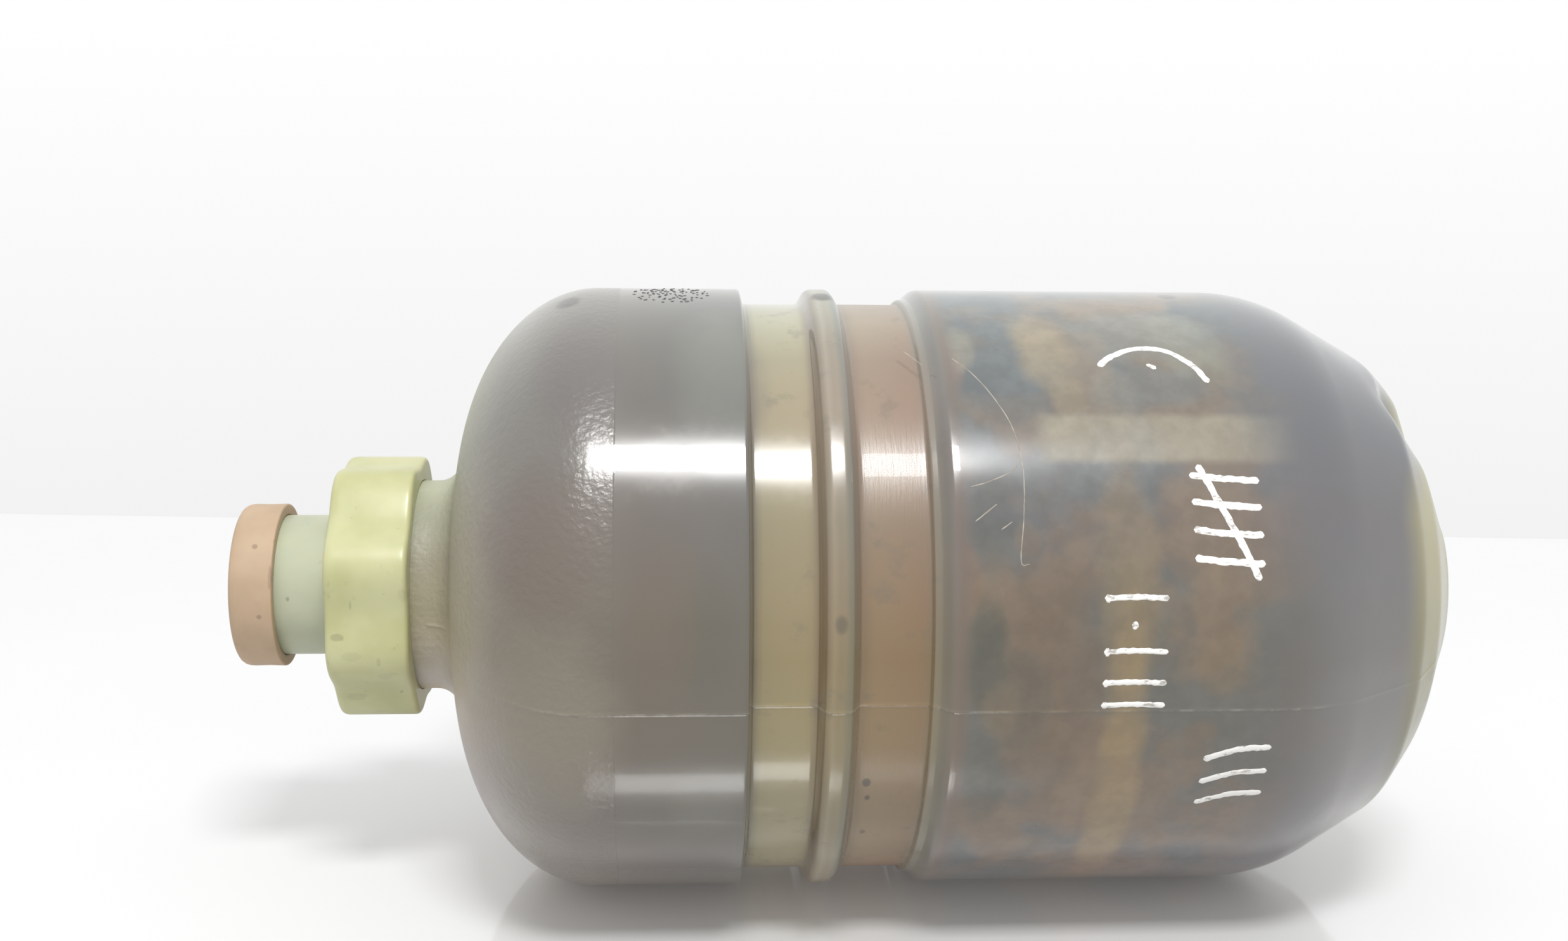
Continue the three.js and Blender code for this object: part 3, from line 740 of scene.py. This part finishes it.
def skin_shape(station, radius, bearing):
    """Presses the groove across the base and raises the mould seams and the thread on the neck."""
    side = -radius * np.cos(bearing)
    rise = radius * np.sin(bearing)
    across = side * math.sin(BASE_GROOVE_BEARING) + rise * math.cos(BASE_GROOVE_BEARING)
    groove = BASE_GROOVE_DEPTH * np.exp(-((across / BASE_GROOVE_WIDTH) ** 2)) * smooth(radius, 10, 17)
    beside = (across - BASE_LIP_OFFSET) / BASE_GROOVE_WIDTH
    lip = BASE_LIP_HEIGHT * np.exp(-(beside**2)) * smooth(radius, 25, 33)
    pressed = (groove - lip) * (1 - smooth(radius, 42, 51)) * (station > CHAMFER_START)

    outside = (radius > NECK_CORE_R - 0.1) & (station > COLLAR_START + 3)
    outside &= radius > middle_of_wall(station)
    seam = np.zeros_like(radius)
    for centre in SEAM_BEARINGS:
        away = (bearing - math.radians(centre) + math.pi) % (2 * math.pi) - math.pi
        seam += SEAM_HEIGHT * np.exp(-((away * radius / SEAM_WIDTH) ** 2))
    seam *= outside * (1 - smooth(station, 226, 232))

    from_end = np.minimum(station - THREAD_SPAN[0], THREAD_SPAN[1] - station)
    on_neck = (from_end > 0) & (radius > NECK_CORE_R - 0.6) & (radius < COLLAR_R - 0.1)
    turn = (station - NUT_THREAD_START) / THREAD_PITCH + np.arctan2(-rise, side) / (2 * math.pi)
    since_nut = (turn - NUT_THREAD_TURNS) % 1
    from_ridge = np.abs(since_nut - 0.5) * THREAD_PITCH
    flank = (THREAD_ROOT - THREAD_CREST) / 2
    ridge = THREAD_DEPTH * smooth(THREAD_ROOT / 2 + 0.15 - from_ridge, 0, flank + 0.15)
    ridge *= on_neck * np.clip(from_end / 0.6, 0, 1)
    return station - pressed, radius + seam + ridge


def middle_of_wall(station):
    """A radius inside the wall at a station of the barrel: what is above it is the outside."""
    middle = np.full_like(station, BODY_R - WALL / 2)
    in_grooves = (station > GROOVE_1[0] - WALL) & (station < BARREL_START)
    middle[in_grooves] = GROOVE_R - WALL / 2
    on_shoulder = station < SHOULDER_END
    share = np.clip((SHOULDER_END - station) / (SHOULDER_LENGTH - WALL / 2), 0, 1)
    rise = (BODY_R - WALL / 2 - COLLAR_R) * np.sqrt(1 - share**2)
    middle[on_shoulder] = (COLLAR_R + rise)[on_shoulder]
    on_cone = station > CHAMFER_START
    middle[on_cone] = (BODY_R - WALL / 2 - (station - CHAMFER_START) * 0.62)[on_cone]
    return middle


def bottle_skin(material):
    outside = spaced(outer_outline(), 1.3)
    threaded = spaced([(MOUTH + 0.4, NECK_CORE_R), (THREAD_SPAN[1] + 0.2, NECK_CORE_R)], 0.16)
    outside = [*threaded, *[p for p in outside if p[0] > THREAD_SPAN[1] + 0.25]]
    profile = [*inner_outline(), *outside]
    vertices, faces = turned(profile, skin_bearings(), skin_shape)
    finished("bottle_skin", vertices, faces, "bottle", material, 40, ["bottle_body"])


# ---- the hand nut ----


def hand_nut(material):
    """Eight shallow lobes, a well rounded front edge, and one and a half turns of thread inside."""
    front, rear = 1.9, 1.2
    seal = COLLAR_R + 0.08
    outer = NUT_MIDDLE_R
    outside = rounded(
        [(NUT_START, NUT_HOLE_R, 0.5), (NUT_START, outer, front), (NUT_END, outer, rear),
         (NUT_END, seal, 0.3), (NUT_END - 0.5, seal, 0)],
        7,
    )
    thread_rows = spaced([(NUT_END - 0.8, NUT_BORE_R), (NUT_START + 3.4, NUT_BORE_R)], 0.2)
    inside = [(NUT_START + NUT_LIP, NUT_BORE_R - 0.3), (NUT_START + NUT_LIP, NUT_HOLE_R)]
    profile = [*spaced(outside, 0.9), *thread_rows, *inside]

    def shape(station, radius, bearing):
        lobes = np.cos(NUT_LOBES * (bearing - math.radians(NUT_CREST_BEARING)))
        share = smooth(radius, NUT_BORE_R + 0.4, outer - front)
        start = NUT_THREAD_START
        end = start + NUT_THREAD_TURNS * THREAD_PITCH
        side = -np.cos(bearing)
        rise = np.sin(bearing)
        turn = (station - start) / THREAD_PITCH + np.arctan2(-rise, side) / (2 * math.pi)
        from_ridge = np.abs((turn - NUT_THREAD_TURNS + 0.5) % 1 - 0.5) * THREAD_PITCH
        ridge = smooth(THREAD_ROOT / 2 + 0.15 - from_ridge, 0, 0.5)
        fade = np.clip(np.minimum(station - start + 0.6, end + 0.6 - station) / 0.8, 0, 1)
        on_bore = np.abs(radius - NUT_BORE_R) < 0.05
        depth = NUT_BORE_R - NUT_THREAD_CREST_R
        return station, radius + NUT_SWING * lobes * share - depth * ridge * fade * on_bore

    vertices, faces = turned(profile, full_turn(AROUND), shape)
    finished("nut_shell", vertices, faces, "nut", material, 40, ["hand_nut"])


# ---- spout, cap and the small turned pieces ----


def turned_piece(name, outline, body, material, node, count=AROUND_SMALL):
    vertices, faces = turned(outline, full_turn(count))
    finished(name, vertices, faces, body, material, 35, [node])


def spout(material):
    corners = [
        (SPOUT_START, SPOUT_BORE_R, 0.5),
        (SPOUT_START, SPOUT_R, 0.6),
        (FLANGE[0], SPOUT_R, 0.4),
        (FLANGE[0], FLANGE_R, 0.3),
        (FLANGE[1], FLANGE_R, 0.3),
        (FLANGE[1], SPIGOT_R, 0.2),
        (SPIGOT_END, SPIGOT_R, 0.5),
        (SPIGOT_END, SEAT_R, 0.3),
        (SNAP_GROOVE[1], SEAT_R, 0.1),
        (SNAP_GROOVE[1], SNAP_GROOVE_R, 0.1),
        (SNAP_GROOVE[0], SNAP_GROOVE_R, 0.1),
        (SNAP_GROOVE[0], SEAT_R, 0.1),
        (SEAT_START, SEAT_R, 0.2),
        (SEAT_START, SPOUT_BORE_R, 0.2),
    ]
    outline = rounded(corners, 3)
    turned_piece("spout_skin", outline, "spout_unit", material, "spout_tube", AROUND)


def cap(material):
    """Soft push-on cap: dished face, rounded front edge and a lip inside that grips the spout."""
    grip = SPOUT_R + 0.1
    corners = [
        (0.5, 0, 0),
        (0.5, 9.5, 3),
        (0, 12.6, 2),
        (0, CAP_R, 2.4),
        (5.2, CAP_R - 0.12, 2),
        (CAP_END, CAP_R, 0.4),
        (CAP_END, grip, 0.3),
        (CAP_END - 1.2, grip, 0.2),
        (CAP_END - 1.6, SPOUT_R + ROOM, 0.2),
        (CAP_FLOOR, SPOUT_R + ROOM, 0.3),
        (CAP_FLOOR, 0, 0),
    ]
    turned_piece("cap_shell", rounded(corners, 5), "cap", material, "end_cap", AROUND)


def probe_pin(material):
    start, end = PIN
    low, high = PIN_COLLAR
    outline = rounded([(start, 0, 0), (start, 0.5, 0.3), (start + 1.2, PIN_R, 0.4), (low, PIN_R, 0.1),
                       (low, PIN_COLLAR_R, 0.25), (high, PIN_COLLAR_R, 0.25), (high, PIN_R, 0.1),
                       (end, PIN_R, 0.2), (end, 0, 0)], 3)
    turned_piece("pin_shank", outline, "spout_unit", material, "probe_pin", 48)


def spoke(bearing):
    """A bar between hub and rim, with a superellipse section."""
    start, end = SPIDER
    middle, half_length = (start + end) / 2, (end - start) / 2 - 0.2
    corners = []
    for reach in SPOKE_REACH:
        for point in bow(0, 0, 1, 1, 0, 2 * math.pi, 16)[:-1]:
            along, aside = (math.copysign(abs(p) ** 0.45, p) for p in point)
            aside *= SPOKE_HALF_WIDTH
            turn = bearing + math.atan2(aside, reach)
            corners.append(placed(middle + along * half_length, math.hypot(reach, aside), turn))
    return tube(np.reshape(corners, (2, 16, 3)))


def spider(material):
    """Rim and hub joined by three spokes, as one group of closed solids."""
    rim = turned(ring_section(SPIDER, *RIM, 0.25), full_turn(AROUND_SMALL))
    hub = turned(ring_section(SPIDER, *HUB, 0.3), full_turn(48))
    vertices, faces = joined([rim, hub, *(spoke(math.radians(180 - 120 * i)) for i in range(3))])
    finished("spider_casting", vertices, faces, "spout_unit", material, 35,
             ["pin_spider"])


def wire(points, radius, sides=6):
    """A round wire along points, closed at both ends."""
    along = np.gradient(points, axis=0)
    along /= np.linalg.norm(along, axis=1)[:, None]
    normal = np.cross(along, (1, 0, 0))
    normal /= np.linalg.norm(normal, axis=1)[:, None]
    other = np.cross(along, normal)
    turn = full_turn(sides)[None, :, None]
    spread = np.cos(turn) * normal[:, None] + np.sin(turn) * other[:, None]
    return tube(points[:, None] + radius * spread)


def gauze(material):
    """Plain weave of fine wire inside a flat edge ring."""
    middle = sum(GAUZE) / 2
    pitch, wire_r, wave, weave_r = 1.1, 0.11, 0.085, 12.9
    edge = ring_section((middle - 0.19, middle + 0.19), 12.6, 13.4, 0.1)
    parts = [turned(edge, full_turn(AROUND_SMALL))]
    count = int(weave_r / pitch)
    for direction in (0, 1):
        for i in range(-count, count + 1):
            offset = i * pitch
            half = math.sqrt(weave_r**2 - offset**2)
            run = np.linspace(-half, half, max(8, int(half * 5)))
            lift = wave * np.cos(math.pi * run / pitch + math.pi * (i + direction))
            across = np.full_like(run, offset)
            y, z = (run, across) if direction else (across, run)
            points = np.stack([FACE_X + (middle + lift) * MM, y * MM, AXIS_Z + z * MM], -1)
            parts.append(wire(points, wire_r * MM))
    vertices, faces = joined(parts)
    finished("gauze_weave", vertices, faces, "spout_unit", material, 50,
             ["strainer_gauze"])


def snap_ring(material):
    """Open spring ring of rectangular section."""
    half_opening = math.radians(14)
    section = np.array(ring_section(SNAP_RING, 12.3, 14.2, 0.15))
    bearings = np.linspace(math.pi + half_opening, 3 * math.pi - half_opening, 73)
    vertices, faces = tube(placed(section[None, :, 0], section[None, :, 1], bearings[:, None]))
    finished("snap_ring_wire", vertices, faces, "spout_unit", material, 35,
             ["snap_ring"])


# ---- marks laid on the barrel ----


def flowing(points, step):
    """A smooth curve through (station, round-the-barrel) points, sampled every step millimetres."""
    points = np.asarray(points, float)
    padded = np.vstack([2 * points[0] - points[1], points, 2 * points[-1] - points[-2]])
    curve = []
    for a, b, c, d in zip(padded, padded[1:], padded[2:], padded[3:]):
        count = max(2, int(np.linalg.norm(c - b) / step))
        for t in np.arange(count) / count:
            curve.append(0.5 * (2 * b + (c - a) * t + (2 * a - 5 * b + 4 * c - d) * t**2
                                + (3 * b - a - 3 * c + d) * t**3))
    return np.array([*curve, points[-1]])


def stroke(points, half_width, height, rng, ragged=0.2, radius=BODY_R):
    """A low mound along a curve on the barrel. Points are (station, bearing in degrees)."""
    flat = [(station, math.radians(bearing) * radius) for station, bearing in points]
    curve = flowing(flat, 0.3)
    along = np.gradient(curve, axis=0)
    along /= np.linalg.norm(along, axis=1)[:, None]
    normal = np.stack([-along[:, 1], along[:, 0]], -1)
    travelled = np.concatenate([[0], np.cumsum(np.linalg.norm(np.diff(curve, axis=0), axis=1))])
    from_end = np.minimum(travelled, travelled[-1] - travelled)
    taper = np.sqrt(np.clip(1 - (1 - np.clip(from_end / half_width, 0, 1)) ** 2, 0.02, 1))
    sections = ((-1, 0), (-0.8, 0.6), (-0.3, 1), (0.3, 1), (0.8, 0.6), (1, 0), (0.6, -0.8), (-0.6, -0.8))
    knots = np.arange(0, travelled[-1] + KNOT_STEP, KNOT_STEP)
    drawn = int(travelled[-1] / KNOT_STEP + 2)
    left, right = (1 + ragged * np.interp(travelled, knots, rng.uniform(-1, 1, drawn)[:len(knots)])
                   for _ in range(2))
    rows = []
    for share, rise in sections:
        edge = left if share < 0 else right
        spot = curve + normal * (share * half_width * taper * edge)[:, None]
        lift = radius + rise * height * np.where(rise > 0, taper, 1)
        rows.append(placed(spot[:, 0], lift, spot[:, 1] / radius))
    return tube(np.stack(rows, 1))


def laid_marks(name, strokes, material):
    vertices, faces = joined(strokes)
    finished(name, vertices, faces, "bottle", material, 60)


def tally_marks(material):
    """Brushed tally strokes in four groups. They count, and spell nothing."""
    rng = np.random.default_rng(7)
    half, height = 0.62, 0.1
    strokes = []

    def draw(points, width=1.0):
        strokes.append(stroke(points, half * width, height, rng))

    # a long curved stroke and a dab near the top
    draw([(163.5, 55), (167, 58), (172, 60), (177, 59.2), (181, 55.5), (183.2, 51)])
    draw([(172.6, 55.6), (174.2, 54.4)], 0.8)
    # four ticks struck through
    for bearing in (31.5, 26.8, 22, 17.2):
        draw([(176.5, bearing + 0.6), (182, bearing), (189, bearing - 0.4)])
    draw([(178.2, 34), (182, 26), (188, 14)])
    # four ticks, and a dot between the first two
    for bearing in (11.2, 2.2, -3.2, -7.2):
        draw([(160.6, bearing), (166, bearing + 0.2), (171.8, bearing)], 0.8)
        draw([(160.4, bearing), (161.6, bearing)], 1.25)
    draw([(165.2, 6.8), (166.4, 6.6)], 1.3)
    # three slanting strokes low on the side
    for bearing in (-15.5, -20.5, -25.5):
        draw([(180, bearing - 2.4), (186, bearing - 0.4), (192, bearing)])
    laid_marks("tally_marks", strokes, material)


def scratches(material):
    rng = np.random.default_rng(11)
    thin, height = 0.09, 0.03
    lines = [
        [(136.6, 57), (140, 52.8), (143.6, 46.5), (146, 40.4), (147, 33), (146.6, 25), (145.8, 17.4),
         (147.4, 16.8)],
        [(137.5, 30), (141, 31), (145.5, 33.2), (146.4, 36)],
        [(138, 24), (142, 27)],
        [(127, 60), (131, 55)],
        [(142.5, 22.6), (144.6, 24)],
        [(168.4, 76), (171.6, 75.6)],
    ]
    strokes = [stroke(line, thin, height, rng, 0.4) for line in lines]
    laid_marks("scuff_lines", strokes, material)


def mould_stamp(material):
    """A round patch of raised grain, as a mould insert leaves it, with no device or lettering."""
    rng = np.random.default_rng(3)
    centre_station, centre_bearing, radius = 85, 84, 8
    grains = []
    for ring_r in np.arange(0.6, radius, 0.95):
        for turn in full_turn(max(4, int(2 * math.pi * ring_r / 1.5))):
            if rng.random() < 0.28:
                continue
            turn += rng.uniform(-0.2, 0.2)
            station = centre_station + ring_r * math.cos(turn)
            bearing = centre_bearing + math.degrees(ring_r * math.sin(turn) / BODY_R)
            end = (station + rng.uniform(0.3, 0.8), bearing + rng.uniform(-0.6, 0.6))
            grains.append(stroke([(station, bearing), end], rng.uniform(0.28, 0.42), 0.12, rng))
    laid_marks("mould_stamp", grains, material)


# ---- stage, light and camera ----


def table():
    """Pale glossy table whose far edge shows faintly behind the bottle."""
    near, far_left, far_right, half = -1.4, 0.519, 0.15, 2.2
    corners = [(-half, near, 0), (half, near, 0), (half, far_right, 0), (-half, far_left, 0)]
    mesh = bpy.data.meshes.new("table")
    mesh.from_pydata(corners, [], [(0, 1, 2, 3)])
    finish = Finish("table_top", Specular_IOR_Level=0.5, Coat_Weight=1.0, Coat_Roughness=0.07,
                    Coat_IOR=1.6)
    finish.colour(finish.mix(finish.noise(60, 4), tone(208, 208, 208), tone(204, 205, 205)))
    finish.roughness(finish.plus(finish.times(finish.noise(20, 3), 0.1), 0.2))
    # a faint glow stands for the light that the translucent shell lets through to the table
    finish.feed(finish.shader.inputs["Emission Color"], (1, 0.97, 0.94, 1))
    finish.feed(finish.shader.inputs["Emission Strength"], 0.085)
    mesh.materials.append(finish.material)
    floor = bpy.data.objects.new("table", mesh)
    bpy.context.scene.collection.objects.link(floor)


def room():
    """White surroundings, a little greyer below the horizon and overhead."""
    world = bpy.data.worlds.new("room")
    bpy.context.scene.world = world
    world.use_nodes = True
    nodes, links = world.node_tree.nodes, world.node_tree.links
    background = nodes["Background"]
    background.inputs["Strength"].default_value = 1.0
    view = nodes.new("ShaderNodeTexCoord")
    axes = nodes.new("ShaderNodeSeparateXYZ")
    rise = nodes.new("ShaderNodeMapRange")
    shade = nodes.new("ShaderNodeValToRGB")
    rise.inputs["From Min"].default_value = -0.3
    rise.inputs["From Max"].default_value = 0.5
    shade.color_ramp.elements[0].color = tone(236, 237, 236)
    shade.color_ramp.elements[1].color = tone(250, 251, 251)
    shade.color_ramp.elements.new(0.46).color = tone(255, 255, 255)
    links.new(view.outputs["Generated"], axes.inputs[0])
    links.new(axes.outputs["Z"], rise.inputs["Value"])
    links.new(rise.outputs[0], shade.inputs["Fac"])
    links.new(shade.outputs[0], background.inputs["Color"])
    bpy.context.scene.view_settings.view_transform = "Standard"


def lamp():
    """A soft lamp on the camera's side, a metre from the bottle's axis."""
    station, elevation = 151, math.radians(59)
    centre = Vector((FACE_X + station * MM, 0, AXIS_Z))
    place = centre + Vector((0, -math.cos(elevation), math.sin(elevation)))
    data = bpy.data.lights.new("key", "AREA")
    data.shape = "RECTANGLE"
    data.size, data.size_y = 0.272, 0.165
    data.energy = 7.8
    key = bpy.data.objects.new("key", data)
    key.location = place
    key.rotation_euler = (centre - place).to_track_quat("-Z", "Y").to_euler()
    bpy.context.scene.collection.objects.link(key)


def camera():
    """Close to the barrel, a little above it, turned slightly towards the base."""
    station, distance, elevation = 84.9, 0.357, math.radians(14)
    yaw, pitch, roll = (math.radians(a) for a in (3.873, 10.276, 0.733))
    sight = Vector((math.sin(yaw) * math.cos(pitch), math.cos(yaw) * math.cos(pitch), -math.sin(pitch)))
    level = Vector((math.cos(yaw), -math.sin(yaw), 0))
    upright = level.cross(sight)
    right = level * math.cos(roll) + upright * math.sin(roll)
    up = -level * math.sin(roll) + upright * math.cos(roll)
    data = bpy.data.cameras.new("camera")
    data.lens = 39.83
    data.sensor_width = 36
    data.clip_start = 0.01
    eye = bpy.data.objects.new("camera", data)
    rise = distance * math.sin(elevation)
    place = Vector((FACE_X + station * MM, -distance * math.cos(elevation), AXIS_Z + rise))
    eye.matrix_world = Matrix.Translation(place) @ Matrix((right, up, -sight)).transposed().to_4x4()
    bpy.context.scene.collection.objects.link(eye)
    bpy.context.scene.camera = eye


# ---- build ----

# stray marks: (station, bearing, half length, half width in degrees, strength)
nut_marks = [(22.3, -10, 1.2, 1.6, 0.4), (25, -18, 1.6, 2, 0.14), (30, -20.5, 0.4, 2, 0.25),
             (31, -29, 1.4, 2.4, 0.14), (24, -50, 2, 3, 0.2), (25, 4.4, 0.2, 2, 0.35),
             (34.8, 9.4, 0.8, 3, 0.16)]
spout_marks = [(11.2, 1.9, 0.4, 2, 0.6)]
cap_marks = [(4.9, 40.8, 0.5, 2, 0.6), (8.2, 19, 0.3, 8, 0.4), (6.1, -9, 0.5, 1.6, 0.5)]
cream = moulded("cream_nut", tone(184, 184, 142), tone(172, 172, 126), tone(120, 116, 88), 0.25,
                marks=nut_marks)
milky = moulded("milky_spout", tone(176, 179, 154), tone(168, 172, 149), tone(120, 121, 108), 0.3,
                marks=spout_marks)
peach = moulded("peach_cap", tone(177, 153, 127), tone(169, 146, 121), tone(118, 98, 82), 0.5, 10, 0.06,
                marks=cap_marks)
white = moulded("white_polymer", tone(226, 224, 212), tone(216, 213, 200), tone(150, 146, 134), 0.35)
rubber = moulded("black_rubber", tone(44, 43, 42), tone(34, 33, 33), tone(86, 84, 80), 0.6, 6, 0.05, 0.0)
brass = metal("turned_brass", tone(196, 164, 96), 0.25)
steel = metal("stainless_steel", tone(196, 198, 200), 0.22)
paint = brush_paint()
stamp_dark = moulded("stamp_grain", tone(74, 72, 70), tone(58, 57, 56), tone(112, 106, 100), 0.4, 3,
                     0.05, 0.0)
scuff_light = moulded("scuff_burr", tone(160, 152, 140), tone(132, 124, 112), tone(110, 102, 92), 0.4, 2,
                      0.02, 0.0)

bottle_skin(stained_skin())
hand_nut(cream)
spout(milky)
cap(peach)
turned_piece("liner_disc", disc_section(LINER, LINER_R, 0.2), "cap", white, "cap_liner")
turned_piece("washer_ring", ring_section(WASHER, SPOUT_R + ROOM, SEAL_R, 0.15), "spout_unit",
             white, "slip_washer")
turned_piece("gasket_ring", ring_section(GASKET, SPIGOT_R + ROOM, SEAL_R, 0.3), "spout_unit",
             rubber, "flange_gasket")
turned_piece("clamp_ring", ring_section(CLAMP_RING, *RIM, 0.2), "spout_unit", brass,
             "strainer_ring")
probe_pin(steel)
spider(brass)
gauze(steel)
snap_ring(steel)
tally_marks(paint)
scratches(scuff_light)
mould_stamp(stamp_dark)

table()
room()
lamp()
camera()
